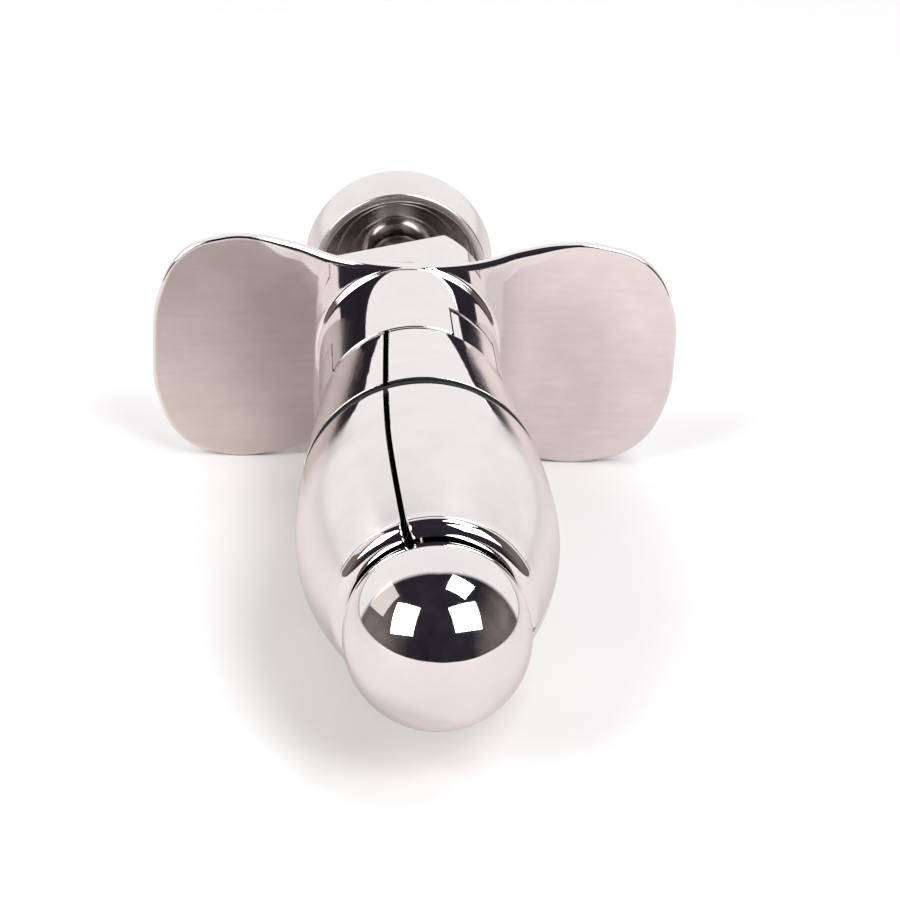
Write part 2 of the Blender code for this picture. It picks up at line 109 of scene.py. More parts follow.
def mesh_object(name, verts, faces, mat, sharp=32):
    mesh = bpy.data.meshes.new(name)
    mesh.from_pydata([tuple(v) for v in verts], [], [tuple(f) for f in faces])
    mesh.validate()
    shape = bmesh.new()
    shape.from_mesh(mesh)
    bmesh.ops.recalc_face_normals(shape, faces=shape.faces)
    shape.to_mesh(mesh)
    shape.free()
    for face in mesh.polygons:
        face.use_smooth = len(face.vertices) < 6
    mesh.set_sharp_from_angle(angle=math.radians(sharp))
    item = bpy.data.objects.new(name, mesh)
    bpy.context.scene.collection.objects.link(item)
    mesh.materials.append(mat)
    return item


def finish_piece(item, body, slot, *nodes):
    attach(item, body)
    if nodes:
        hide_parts(*nodes)
    return item


def lathe(name, profile, mat, steps=160, closed=False, angle=0.0, sharp=32):
    """Turns a (radius, station) profile, in millimetres, round the axis."""
    verts, rings = [], []
    turns = angle + np.arange(steps) * 360 / steps
    for radius, station in profile:
        if radius < 1e-6:
            rings.append([len(verts)] * steps)
            verts.append(place(0.0, 0.0, station))
        else:
            rings.append(list(range(len(verts), len(verts) + steps)))
            verts.extend(place(radius, turns, station))
    faces = []
    pairs = list(zip(rings, rings[1:])) + ([(rings[-1], rings[0])] if closed else [])
    for one, two in pairs:
        for i in range(steps):
            j = (i + 1) % steps
            corner = [one[i], one[j], two[j], two[i]]
            corner = [c for k, c in enumerate(corner) if c != corner[k - 1]]
            if len(corner) > 2:
                faces.append(corner)
    return mesh_object(name, verts, faces, mat, sharp=sharp)


def rounded(points, radius, steps=5, closed=False):
    """A polyline whose corners are rounded to a radius, or to one radius for each corner."""
    points = [np.array(p, float) for p in points]
    count = len(points)
    radii = radius if hasattr(radius, "__len__") else [radius] * count
    out = []
    for i, here in enumerate(points):
        if not closed and i in (0, count - 1):
            out.append(tuple(here))
            continue
        before, after = points[i - 1] - here, points[(i + 1) % count] - here
        lengths = np.linalg.norm(before), np.linalg.norm(after)
        one, two = before / lengths[0], after / lengths[1]
        half = math.acos(max(-1.0, min(1.0, one @ two))) / 2
        reach = radii[i] / math.tan(half) if half > 0.01 else 0
        reach = min(reach, 0.45 * min(lengths))
        if reach < 1e-5 or half > math.radians(87):
            out.append(tuple(here))
            continue
        start, end = here + one * reach, here + two * reach
        for t in np.linspace(0, 1, steps + 1):
            a = (1 - t) ** 2 * start + 2 * t * (1 - t) * here + t * t * end
            out.append(tuple(a))
    return out


def arc(centre_station, centre_radius, radius, start, end, count):
    """Points on an arc whose angles, in degrees, run from the rear (0) over the outside (90) to the front."""
    angles = np.radians(np.linspace(start, end, count))
    return [(centre_radius + radius * math.sin(a), centre_station + radius * math.cos(a)) for a in angles]


def apply_modifiers(item):
    bpy.context.view_layer.update()
    made = bpy.data.meshes.new_from_object(item.evaluated_get(bpy.context.evaluated_depsgraph_get()))
    item.modifiers.clear()
    item.data = made


def tube_faces(rings, count):
    """Quads between rings of count points each, and a cap on the first ring and on the last."""
    faces = []
    for c in range(rings - 1):
        for i in range(count):
            j = (i + 1) % count
            faces.append((c * count + i, c * count + j, (c + 1) * count + j, (c + 1) * count + i))
    top = (rings - 1) * count
    return faces + [tuple(range(count)), tuple(range(top, top + count))]


def point_values(item, name, values):
    """Gives a piece an attribute with one value for each of its points."""
    attribute = item.data.attributes.new(name, "FLOAT", "POINT")
    attribute.data.foreach_set("value", np.asarray(values, np.float32))


def cut(item, cutters):
    for cutter in cutters:
        boolean = item.modifiers.new(cutter.name, "BOOLEAN")
        boolean.operation = "DIFFERENCE"
        boolean.solver = "EXACT"
        boolean.object = cutter
    apply_modifiers(item)
    for cutter in cutters:
        bpy.data.objects.remove(cutter, do_unlink=True)


def block(name, outward, sideways, stations, angle):
    """A box in (outward, sideways, station), in millimetres, turned to an angle round the axis."""
    a = math.radians(angle)
    out, side = Vector((math.cos(a), 0, math.sin(a))), Vector((-math.sin(a), 0, math.cos(a)))
    base = Vector((AXIS_X, NOSE_Y, AXIS_Z))
    verts = []
    for s in stations:
        for k, m in ((0, 0), (1, 0), (1, 1), (0, 1)):
            o, w = outward[k], sideways[m]
            verts.append(base + (out * o + side * w + Vector((0, s, 0))) * MM)
    faces = [(0, 1, 2, 3), (4, 5, 6, 7), (0, 1, 5, 4), (1, 2, 6, 5), (2, 3, 7, 6), (3, 0, 4, 7)]
    return mesh_object(name, verts, faces, CUT)


# ---------------------------------------------------------------- materials


class Graph:
    """A small builder for one material's nodes."""

    def __init__(self, name):
        self.mat = bpy.data.materials.new(name)
        self.mat.use_nodes = True
        self.tree = self.mat.node_tree
        self.shader = self.tree.nodes["Principled BSDF"]
        self.coords = self.node("ShaderNodeTexCoord").outputs["Object"]

    def node(self, kind, inputs=(), **settings):
        made = self.tree.nodes.new(kind)
        for key, value in settings.items():
            setattr(made, key, value)
        for key, value in dict(inputs).items():
            if isinstance(value, bpy.types.NodeSocket):
                self.tree.links.new(value, made.inputs[key])
            else:
                made.inputs[key].default_value = value
        return made

    def noise(self, scale, detail=3.0, rough=0.55, stretch=None):
        vector = self.coords
        if stretch:
            vector = self.node("ShaderNodeMapping", {"Vector": vector, "Scale": stretch}).outputs[0]
        values = {"Vector": vector, "Scale": scale, "Detail": detail, "Roughness": rough}
        return self.node("ShaderNodeTexNoise", values).outputs["Fac"]

    def ramp(self, value, low, high, to_low=0.0, to_high=1.0):
        values = {"Value": value, "From Min": low, "From Max": high, "To Min": to_low, "To Max": to_high}
        return self.node("ShaderNodeMapRange", values).outputs["Result"]

    def mix(self, factor, one, two):
        made = self.node("ShaderNodeMix", {"Factor": factor}, data_type="RGBA")
        for key, value in ((6, one), (7, two)):
            if isinstance(value, bpy.types.NodeSocket):
                self.tree.links.new(value, made.inputs[key])
            else:
                made.inputs[key].default_value = (*value, 1)
        return made.outputs[2]

    def maths(self, operation, one, two):
        return self.node("ShaderNodeMath", {0: one, 1: two}, operation=operation).outputs[0]

    def bump(self, height, distance, strength=1.0, after=None):
        values = {"Height": height, "Distance": distance, "Strength": strength}
        if after is not None:
            values["Normal"] = after
        return self.node("ShaderNodeBump", values).outputs[0]

    def finish(self, **values):
        for key, value in values.items():
            socket = self.shader.inputs[key.replace("_", " ")]
            if isinstance(value, bpy.types.NodeSocket):
                self.tree.links.new(value, socket)
            else:
                socket.default_value = (*value, 1) if isinstance(value, tuple) else value
        return self.mat


STEEL = (0.87, 0.835, 0.83)


def polished_steel():
    """Mirror finish. The haze attribute marks where the polish is softer."""
    g = Graph("polished_steel")
    smear = g.noise(160, 4, 0.6)
    colour = g.mix(g.ramp(smear, 0.35, 0.7), STEEL, (0.82, 0.795, 0.79))
    haze = g.node("ShaderNodeAttribute", attribute_name="haze").outputs["Fac"]
    rough = g.ramp(g.noise(420, 3, 0.6), 0.3, 0.75, 0.025, 0.06)
    rough = g.maths("ADD", rough, g.maths("MULTIPLY", haze, 0.2))
    wave = g.bump(g.noise(130, 2, 0.5), 0.00006, 0.5)
    return g.finish(Base_Color=colour, Metallic=1.0, Roughness=rough, Normal=wave)


def satin_steel():
    """Brushed lobes round a polished hub. Painted light brightens the right lobe, and painted shade darkens
    the left lobe towards its top.
    """
    g = Graph("satin_steel")
    across, _, height = g.node("ShaderNodeSeparateXYZ", {0: g.coords}).outputs
    cloud = g.noise(70, 4, 0.6)
    aside = g.maths("ABSOLUTE", g.maths("SUBTRACT", across, AXIS_X), 0.0)
    aside = g.maths("ADD", aside, g.ramp(cloud, 0.3, 0.7, -0.0003, 0.0003))
    hub_edge = g.ramp(aside, (HUB_EDGE - 0.1) * MM, (HUB_EDGE + 0.4) * MM)
    satin = g.node("ShaderNodeAttribute", attribute_name="satin").outputs["Fac"]
    satin = g.maths("MULTIPLY", satin, hub_edge)
    grain = g.noise(2600, 3, 0.7, (1, 1, 0.35))
    brush = g.noise(900, 4, 0.65, (0.12, 1, 1))
    warm = g.mix(g.ramp(cloud, 0.3, 0.7), (0.78, 0.725, 0.70), (0.66, 0.605, 0.58))
    warm = g.mix(g.ramp(brush, 0.35, 0.7, 0.0, 0.35), warm, (0.60, 0.55, 0.53))
    # Painted light on the right lobe and painted shade on the left lobe, darker towards its top, multiplied
    # into the satin colour.
    painted_light_and_shade = g.mix(g.ramp(across, 0.01, 0.02), (0.93, 0.93, 0.93), (1.24, 1.27, 1.29))
    shade = g.mix(g.ramp(height, 0.006, 0.037), (1.1, 1.08, 1.07), (0.62, 0.6, 0.6))
    painted_light_and_shade = g.mix(g.ramp(across, -0.01, -0.03), painted_light_and_shade, shade)
    product = {"Factor": 1.0, 6: warm, 7: painted_light_and_shade}
    warm = g.node("ShaderNodeMix", product, data_type="RGBA", blend_type="MULTIPLY").outputs[2]
    colour = g.mix(satin, STEEL, warm)
    matt = g.maths("ADD", g.ramp(grain, 0.3, 0.7, 0.1, 0.16), g.ramp(cloud, 0.3, 0.7, -0.02, 0.02))
    rough = g.node("ShaderNodeMix", {0: satin, 2: 0.045, 3: matt}, data_type="FLOAT").outputs[0]
    relief = g.maths("ADD", g.maths("MULTIPLY", grain, 0.6), brush)
    bumped = g.bump(g.maths("MULTIPLY", relief, satin), 0.00002, 0.6)
    return g.finish(Base_Color=colour, Metallic=1.0, Roughness=rough, Normal=bumped)


def cup_steel():
    """The turned inside of the cup: less polished than the outside, with painted shade of the hollow
    darkening its colour.
    """
    g = Graph("cup_steel")
    rings = g.noise(900, 3, 0.6, (0.3, 1, 0.3))
    colour = g.mix(g.ramp(g.noise(150, 4, 0.6), 0.3, 0.7), (0.5, 0.46, 0.43), (0.34, 0.31, 0.29))
    rough = g.ramp(rings, 0.3, 0.7, 0.1, 0.16)
    return g.finish(Base_Color=colour, Metallic=1.0, Roughness=rough, Normal=g.bump(rings, 0.00001, 0.4))


def turned_steel():
    g = Graph("turned_steel")
    along = g.node("ShaderNodeMapping", {"Vector": g.coords, "Scale": (0.05, 1, 0.05)}).outputs[0]
    rings = g.node("ShaderNodeTexNoise", {"Vector": along, "Scale": 2400.0, "Detail": 2.0}).outputs["Fac"]
    colour = g.mix(g.ramp(g.noise(240, 4), 0.35, 0.7), (0.62, 0.61, 0.61), (0.5, 0.49, 0.48))
    rough = g.ramp(rings, 0.3, 0.7, 0.16, 0.3)
    return g.finish(Base_Color=colour, Metallic=1.0, Roughness=rough, Normal=g.bump(rings, 0.00003, 0.5))


def bronze():
    g = Graph("bronze")
    patina = g.noise(180, 5, 0.65)
    rings = g.noise(2000, 2, 0.5, (0.05, 1, 0.05))
    colour = g.mix(g.ramp(patina, 0.4, 0.65), (0.72, 0.47, 0.24), (0.42, 0.25, 0.13))
    rough = g.ramp(patina, 0.3, 0.7, 0.22, 0.42)
    return g.finish(Base_Color=colour, Metallic=1.0, Roughness=rough, Normal=g.bump(rings, 0.00003, 0.5))


def rubber():
    g = Graph("rubber")
    dust = g.noise(900, 4, 0.65)
    colour = g.mix(g.ramp(dust, 0.45, 0.75), (0.008, 0.008, 0.009), (0.02, 0.02, 0.021))
    rough = g.ramp(dust, 0.3, 0.7, 0.55, 0.7)
    pores = g.bump(g.noise(3000, 2), 0.00001, 0.6)
    return g.finish(Base_Color=colour, Roughness=rough, Specular_IOR_Level=0.25, Normal=pores)


def floor_paint():
    """Pale paint. Glossy rays see a darker, warmer colour, a painted reflection tone in the steel."""
    g = Graph("floor_paint")
    colour = g.mix(g.ramp(g.noise(9, 3), 0.3, 0.7), (0.93, 0.925, 0.925), (0.91, 0.905, 0.905))
    # Painted reflection: glossy rays get a darker, warmer floor colour than the camera sees.
    glossy = g.node("ShaderNodeLightPath").outputs["Is Glossy Ray"]
    colour = g.mix(glossy, colour, (0.72, 0.675, 0.665))
    return g.finish(Base_Color=colour, Roughness=0.75, Specular_IOR_Level=0.1)


POLISHED = polished_steel()
SATIN = satin_steel()
TURNED = turned_steel()
CUP = cup_steel()
BRONZE = bronze()
RUBBER = rubber()
CUT = bpy.data.materials.new("cutter")


# ---------------------------------------------------------------- ball and rod


def make_ball():
    radius, bore, bore_floor, face = BALL_RADIUS / MM, 3.3, 2.0, 11.6
    start = math.degrees(math.acos(face / radius))
    profile = [(0, bore_floor), (bore, bore_floor), (bore, face)] + arc(0, 0, radius, start, 180, 90)
    profile[-1] = (0, -radius)
    item = lathe("ball_body", profile, POLISHED, 192)
    finish_piece(item, "drive", "polished_steel", "nose_ball")


def make_rod():
    profile = [(0, 64.0), (4.4, 64.0), (4.4, 95.7), (6.0, 95.7), (6.0, 12.4), (5.5, 11.9)]
    profile += [(3.0, 11.9), (3.0, 2.3), (0, 2.3)]
    item = lathe("drive_rod_body", rounded(profile, 0.15, 3), POLISHED, 96)
    finish_piece(item, "drive", "polished_steel", "drive_rod")


# ---------------------------------------------------------------- petals


def ball_cavity(station):
    """The inside radius at a station that clears the ball all through its travel."""
    need = ROD_HOLE_RADIUS
    for travelled in np.linspace(0, TRAVEL, 49):
        swing = OPENING * travelled / TRAVEL
        lever = HINGE_STATION - travelled
        below = lever * math.sin(swing) - HINGE_RADIUS * (1 - math.cos(swing))
        centre = HINGE_STATION - lever * math.cos(swing) + HINGE_RADIUS * math.sin(swing)
        chord = BALL_RADIUS**2 / MM**2 - (station - centre) ** 2 - 0.75 * below**2
        if chord > 0:
            need = max(need, math.sqrt(chord) - below / 2 + BALL_CLEARANCE)
    return need


def neck_radius(station):
    along = (NECK_REAR - station) / (NECK_REAR - GROOVE_REAR)
    return 16.0 + 3.3 * (along + 0.15 * along * (1 - along))


def bulb_radius(station):
    if station > BULB_WIDEST:
        along = (station - BULB_WIDEST) / (GROOVE_FRONT - BULB_WIDEST)
        return BULB_RADIUS - 0.6 * along**2
    along = (BULB_WIDEST - station) / (BULB_WIDEST - BULB_FRONT)
    return BULB_FRONT_RADIUS + (BULB_RADIUS - BULB_FRONT_RADIUS) * math.cos(along * math.pi / 2)


def petal_profile():
    """Closed (radius, station, edge rounding) points: the neck's rear, the outside, the mouth and back."""
    points = [(15.45, NECK_REAR, 0.1), (15.6, 78.78, 0.15), (15.75, 78.7, 0.2), (15.92, 78.52, 0.2)]
    points += [(neck_radius(s), s, 0.25) for s in np.linspace(78.3, 49.6, 52)]
    groove = [(neck_radius(49.5), 49.5), (19.3, GROOVE_REAR), (GROOVE_RADIUS, GROOVE_REAR)]
    groove += [(GROOVE_RADIUS, GROOVE_FRONT), (19.5, GROOVE_FRONT), (bulb_radius(45.2), 45.2)]
    groove = rounded(groove, [0, 0.25, 0.3, 0.3, 0.75, 0], 6)
    points += [(r, s, 0.0) for r, s in groove]
    points += [(bulb_radius(s), s, 0.25) for s in BULB_WIDEST + 14.0 * np.linspace(1, 0, 26)]
    stations = BULB_WIDEST - (BULB_WIDEST - BULB_FRONT) * np.sin(np.linspace(0.03, 1.5, 50))
    points += [(bulb_radius(s), s, 0.12) for s in stations]
    points += [(15.1, 7.6, 0.12), (15.04, 7.54, 0.12), (15.01, 7.44, 0.15), (14.99, 7.3, 0.2)]
    lip = arc(LIP_STATION, LIP_CENTRE_RADIUS, LIP_RADIUS, 111, 200, 60)
    lip = [(r, s) for r, s in lip if r > ball_cavity(s)]
    points += [(r, s, 0.35 + 0.002 * k) for k, (r, s) in enumerate(lip)]
    mouth = points[-1][1]
    points += [(ball_cavity(s), s, 0.15) for s in np.linspace(mouth, BULB_WIDEST, 28)[1:]]
    points += [(ROD_HOLE_RADIUS, s, 0.1) for s in np.linspace(32.5, 78.4, 12)] + [(6.9, NECK_REAR, 0.1)]
    return np.array(points)


def side_angle(radius, offset):
    return 60 - np.degrees(np.arcsin(offset / radius))


def make_petal(where, angle, points):
    """Sweeps the profile round 120 degrees less the gaps, with rounded long edges."""
    radius, station, edge = points.T
    tangent = np.roll(points[:, :2], -1, 0) - np.roll(points[:, :2], 1, 0)
    tangent /= np.linalg.norm(tangent, axis=1)[:, None]
    inward = np.stack([tangent[:, 1], -tangent[:, 0]], 1)
    offset = SIDE_OFFSET + 0.12 * np.clip((8.2 - station) / 3.0, 0, 1)
    columns = []
    turns = np.radians([90, 72, 54, 36, 18, 0])
    for side in (-1, 1):
        made = []
        for t in turns:
            r = radius + inward[:, 0] * edge * (1 - math.cos(t))
            s = station + inward[:, 1] * edge * (1 - math.cos(t))
            a = side_angle(r, offset) - np.degrees(edge * (1 - math.sin(t)) / r)
            made.append((r, side * a, s))
        columns.append(made)
    first, last = columns[0], columns[1][::-1]
    middle = []
    for share in np.linspace(0, 1, 122)[1:-1]:
        middle.append((radius, first[-1][1] * (1 - share) + last[0][1] * share, station))
    columns = first + middle + last
    count = len(radius)
    verts = np.concatenate([place(r, angle + a, s) for r, a, s in columns])
    faces = tube_faces(len(columns), count)
    body = mesh_object(f"petal_{where}_body", verts, faces, POLISHED, sharp=40)
    haze = smooth_step(station, 44.0, 30.0) * smooth_step(station, 7.4, 9.0) * (radius > 14.9)
    point_values(body, "haze", np.tile(haze, len(columns)))
    finish_piece(body, f"petal_{where}", "polished_steel", f"petal_{where}")
    finish_piece(make_tongue(where, angle), f"petal_{where}", "polished_steel")


def make_tongue(where, angle):
    """The hinge tongue: flush with the barrel outside, with its pin hole left to the hinge pin's own head."""
    half, inner, outer = 5.0, 10.5, BARREL_RADIUS
    section = []
    for w in np.linspace(-half, half, 25):
        section.append((math.sqrt(outer**2 - w * w), w))
    section = [(inner, -half)] + section + [(inner, half)]
    section = rounded(section, [0.3] + [0.0] * 25 + [0.3], 3, closed=True)
    stations = [77.2, 78.5, 80, 83, 86, 89, 90.2, 90.5, 90.6]
    grow = [0, 0, 0, 0, 0, 0, 0, 0.1, 0.35]
    verts, count = [], len(section)
    for s, g in zip(stations, grow):
        for o, w in section:
            shrink = 1 - g / half
            r, a = math.hypot(o - g, w * shrink), math.degrees(math.atan2(w * shrink, o - g))
            verts.append(place(r, angle + a, s))
    faces = tube_faces(len(stations), count)
    return mesh_object(f"petal_{where}_tongue", verts, faces, POLISHED, sharp=25)


# ---------------------------------------------------------------- closing ring


def make_ring(where, angle):
    """A third of the closing ring. Its slimmer ends lie inside its neighbours until the petals open."""
    turns = np.concatenate([np.linspace(-78, -61, 10), np.linspace(-59, 59, 60), np.linspace(61, 78, 10)])
    verts, steps = [], 20
    for turn in turns:
        thick = 1.2 if abs(turn) < 60 else 1.12
        for around in np.linspace(0, 360, steps, endpoint=False):
            a = math.radians(around)
            radius, station = RING_RADIUS + thick * math.cos(a), RING_STATION + thick * math.sin(a)
            verts.append(place(radius, angle + turn, station))
    item = mesh_object(f"closing_ring_{where}", verts, tube_faces(len(turns), steps), RUBBER)
    nodes = ("closing_ring",) if where == "left" else ()
    finish_piece(item, f"petal_{where}", "rubber", *nodes)


# ---------------------------------------------------------------- barrel


def make_barrel():
    bore, rear_bore, step = 9.5, 12.5, 124.0
    profile = [(STUB_RADIUS, BARREL_REAR), (BARREL_RADIUS, STUB_FRONT), (BARREL_RADIUS, BARREL_FRONT)]
    profile += [(bore, BARREL_FRONT), (bore, step), (rear_bore, step), (rear_bore, BARREL_REAR)]
    radii = [0.35, 0.0, 0.22, 0.3, 0.2, 0.2, 0.3]
    item = lathe("barrel_body", rounded(profile, radii, 5, closed=True), POLISHED, 288, closed=True)
    cutters = []
    for where, angle in PETALS.items():
        cutters.append(block(f"pocket_{where}", (8, 20), (-5.25, 5.25), (76, 91.3), angle))
        cutters.append(pin_cutter(where, angle))
    cutters.append(block("flat", (FLAT_DISTANCE, 30), (-20, 20), (STUB_FRONT, 131), FLAT_ANGLE))
    cut(item, cutters)
    smooth_turned_faces(item)
    finish_piece(item, "housing", "polished_steel", "barrel")


def pin_cutter(where, angle):
    outward = (HINGE_RADIUS - PIN_HOLE_RADIUS, HINGE_RADIUS + PIN_HOLE_RADIUS)
    stations = (HINGE_STATION - PIN_HOLE_RADIUS, HINGE_STATION + PIN_HOLE_RADIUS)
    return block(f"pin_{where}", outward, (-7.1, 7.1), stations, angle)


def smooth_all(mesh):
    for face in mesh.polygons:
        face.use_smooth = True
    mesh.set_sharp_from_angle(angle=math.radians(32))


def smooth_turned_faces(item):
    """Gives the turned outside exact normals, so that the cuts leave no mark in the reflections."""
    mesh = item.data
    smooth_all(mesh)
    normals = np.zeros(len(mesh.loops) * 3)
    mesh.corner_normals.foreach_get("vector", normals)
    normals = normals.reshape(-1, 3)
    for face in mesh.polygons:
        centre = face.center - Vector((AXIS_X, 0, AXIS_Z))
        radial = Vector((centre.x, 0, centre.z))
        reach = radial.length / MM
        if reach > 15.9 and face.normal.dot(radial.normalized()) > 0.995 and abs(face.normal.y) < 0.05:
            for loop in face.loop_indices:
                point = mesh.vertices[mesh.loops[loop].vertex_index].co
                out = Vector((point.x - AXIS_X, 0, point.z - AXIS_Z)).normalized()
                slope = -0.036 if face.center.y - NOSE_Y > STUB_FRONT * MM else 0.0
                normals[loop] = (out + Vector((0, slope, 0))).normalized()
        elif face.area > 2e-6:
            for loop in face.loop_indices:
                normals[loop] = face.normal
    mesh.normals_split_custom_set([tuple(n) for n in normals])


# ---------------------------------------------------------------- wing plate


def wing_outline():
    """The plate's closed outline in (sideways, up), in millimetres. The right lobe is the longer one."""
    quarter = [(0.0, 16.3), (6.5, 16.4), (13.0, 17.4), (20.2, 19.7), (28.0, 21.1)]
    quarter += [(34.0, 20.8), (41.5, 17.8), (46.2, 9.7), (47.2, 0.0)]
    halves = []
    for side in (1, -1):
        stretched = [(x + side * LOBE_LENGTHENING / 19.2 * max(0, x - 28), y) for x, y in quarter]
        halves.append(stretched + [(x, -y) for x, y in reversed(stretched[:-1])])
    outline = halves[0] + [(-x, y) for x, y in reversed(halves[1][1:-1])]
    curve = bpy.data.curves.new("outline", "CURVE")
    curve.resolution_u = 40
    spline = curve.splines.new("BEZIER")
    spline.bezier_points.add(len(outline) - 1)
    for point, (x, y) in zip(spline.bezier_points, outline):
        point.co = (x, y, 0)
        point.handle_left_type = "AUTO"
        point.handle_right_type = "AUTO"
    spline.use_cyclic_u = True
    item = bpy.data.objects.new("outline", curve)
    bpy.context.scene.collection.objects.link(item)
    bpy.context.view_layer.update()
    mesh = item.to_mesh()
    points = np.array([v.co[:2] for v in mesh.vertices])
    item.to_mesh_clear()
    bpy.data.objects.remove(item, do_unlink=True)
    return points


def edge_distance(points, outline):
    """How far each point lies from the outline."""
    start, run = outline, np.roll(outline, -1, 0) - outline
    best = np.full(len(points), 1e9)
    for a, d in zip(start, run):
        length = d @ d
        if length < 1e-12:
            continue
        t = np.clip(((points - a) @ d) / length, 0, 1)
        gap = points - a - t[:, None] * d
        best = np.minimum(best, np.einsum("ij,ij->i", gap, gap))
    return np.sqrt(best)


def fillet(distance, run, rise):
    x = np.clip(1 - distance / run, 0, 1)
    return rise * (1 - np.sqrt(np.maximum(0, 1 - x * x)))


def rounding(distance, radius):
    x = np.clip(1 - distance / radius, 0, 1)
    return radius * (1 - np.sqrt(np.maximum(0, 1 - x * x)))


def plate_radii(limit):
    """For each ray, the radii from the barrel to the outline, closer together towards both ends."""
    near = np.array([0, 0.06, 0.12, 0.2, 0.3, 0.55, 0.85, 1.2, 1.65, 2.2, 2.8, 3.5, 4.2, 5.0])
    far = np.array([3.6, 2.9, 2.3, 1.8, 1.4, 1.05, 0.78, 0.55, 0.38, 0.24, 0.13, 0.05, 0])
    rows = []
    for out in limit:
        scale = min(1.0, (out - BARREL_RADIUS) / 10.5)
        lows, highs = BARREL_RADIUS + near * scale, out - far * scale
        mids = np.linspace(lows[-1], highs[0], 40)[1:-1]
        rows.append(np.concatenate([lows, mids, highs]))
    return np.array(rows)


def satin_mask(edge, sideways, height):
    """Where the faces are satin: away from the polished rim, which is wider at the top by the hub."""
    upper = smooth_step(height, -6.0, 6.0)
    wider = 2.0 * (1 - smooth_step(sideways, 22.5, 28.0)) + 1.6 * (1 - smooth_step(sideways, 16.5, 20.0))
    inset = 0.3 + upper * wider
    return smooth_step(edge, inset, inset + 0.5)


def make_plate():
    outline = wing_outline()
    angles = np.degrees(np.arctan2(outline[:, 1], outline[:, 0]))
    reach = np.hypot(outline[:, 0], outline[:, 1])
    order = np.argsort(angles)
    angles, reach = angles[order], reach[order]
    rays = np.linspace(-180, 180, 720, endpoint=False)
    limit = np.interp(rays, angles, reach, period=360)
    radius = plate_radii(limit)
    turn = np.radians(rays)[:, None]
    flat = np.stack([radius * np.cos(turn), radius * np.sin(turn)], -1).reshape(-1, 2)
    edge = edge_distance(flat, outline).reshape(radius.shape)
    edge[:, -1] = 0
    sideways = np.abs(flat[:, 0]).reshape(radius.shape)
    hub = smooth_step(sideways, 3.0, 11.0) * (1 - smooth_step(sideways, 22.0, 30.0))
    away = radius - BARREL_RADIUS
    front = PLATE_FRONT - fillet(away, 0.75, 0.65) + rounding(edge, 0.4 + 0.7 * hub)
    rear = PLATE_REAR + fillet(away, 1.1, 0.8) - rounding(edge, 0.4 + 0.3 * hub)
    middle = (front[:, -1] + rear[:, -1]) / 2
    grid = [place(radius[:, k], rays, front[:, k]) for k in range(radius.shape[1])]
    grid.append(place(radius[:, -1], rays, middle))
    grid += [place(radius[:, k], rays, rear[:, k]) for k in range(radius.shape[1] - 1, -1, -1)]
    side = len(rays)
    verts = np.concatenate(grid)
    count = len(grid)
    faces = []
    for k in range(count):
        nxt = (k + 1) % count
        for i in range(side):
            j = (i + 1) % side
            faces.append((k * side + i, k * side + j, nxt * side + j, nxt * side + i))
    item = mesh_object("wing_plate_body", verts, faces, SATIN, sharp=50)
    mask = satin_mask(edge, sideways, flat[:, 1].reshape(radius.shape))
    layers = [mask[:, k] for k in range(mask.shape[1])] + [np.zeros(side)]
    layers += [mask[:, k] for k in range(mask.shape[1] - 1, -1, -1)]
    point_values(item, "satin", np.concatenate(layers))
    finish_piece(item, "housing", "satin_steel", "wing_plate")


def make_welds():
    """The welds are dressed into the fillet, so what shows of each is a low polished ring on the barrel."""
    radius, inside = 0.22, 15.8
    for where, station in (("front", 107.0), ("rear", 110.6)):
        ring = arc(station, 16.0, radius, 0, 180, 14)
        ring += [(inside, station - radius), (inside, station + radius)]
        item = lathe(f"weld_ring_{where}", ring, POLISHED, 240, closed=True)
        finish_piece(item, "housing", "polished_steel", f"weld_bead_{where}")


# ---------------------------------------------------------------- spindle, gland and knob


def make_spindle():
    profile = [(0, 159.4), (4.0, 159.4), (4.0, 127.0), (8.0, 127.0), (8.0, 125.6), (3.6, 125.6)]
    for k in range(22):
        s = 124.6 - 1.5 * k
        profile += [(3.6, s), (4.0, s - 0.55), (4.0, s - 0.75), (3.4, s - 1.3)]
    profile += [(3.4, 91.4), (3.0, 91.0), (0, 91.0)]
    item = lathe("spindle_body", rounded(profile[:6], 0.15, 3) + profile[6:], TURNED, 96)
    finish_piece(item, "knob", "turned_steel", "threaded_spindle")


def make_gland():
    bore, outside, front, rear = 4.3, 12.2, 127.3, 130.5
    profile = rounded([(bore, front), (outside, front), (outside, rear), (bore, rear)], 0.25, 4, closed=True)
    item = lathe("gland_body", profile, TURNED, 160, closed=True)
    holes, off_axis, steps = [], 8.5, 24
    for angle in (0, 180):
        base = Vector((AXIS_X + off_axis * MM * math.cos(math.radians(angle)), NOSE_Y, AXIS_Z))
        verts = []
        for s in (129.0, 131.5):
            for k in range(steps):
                a = 2 * math.pi * k / steps
                verts.append(base + Vector((math.cos(a) * MM, s * MM, math.sin(a) * MM)))
        holes.append(mesh_object(f"gland_hole_{angle}", verts, tube_faces(2, steps), CUT))
    cut(item, holes)
    smooth_all(item.data)
    finish_piece(item, "housing", "turned_steel", "rear_gland")


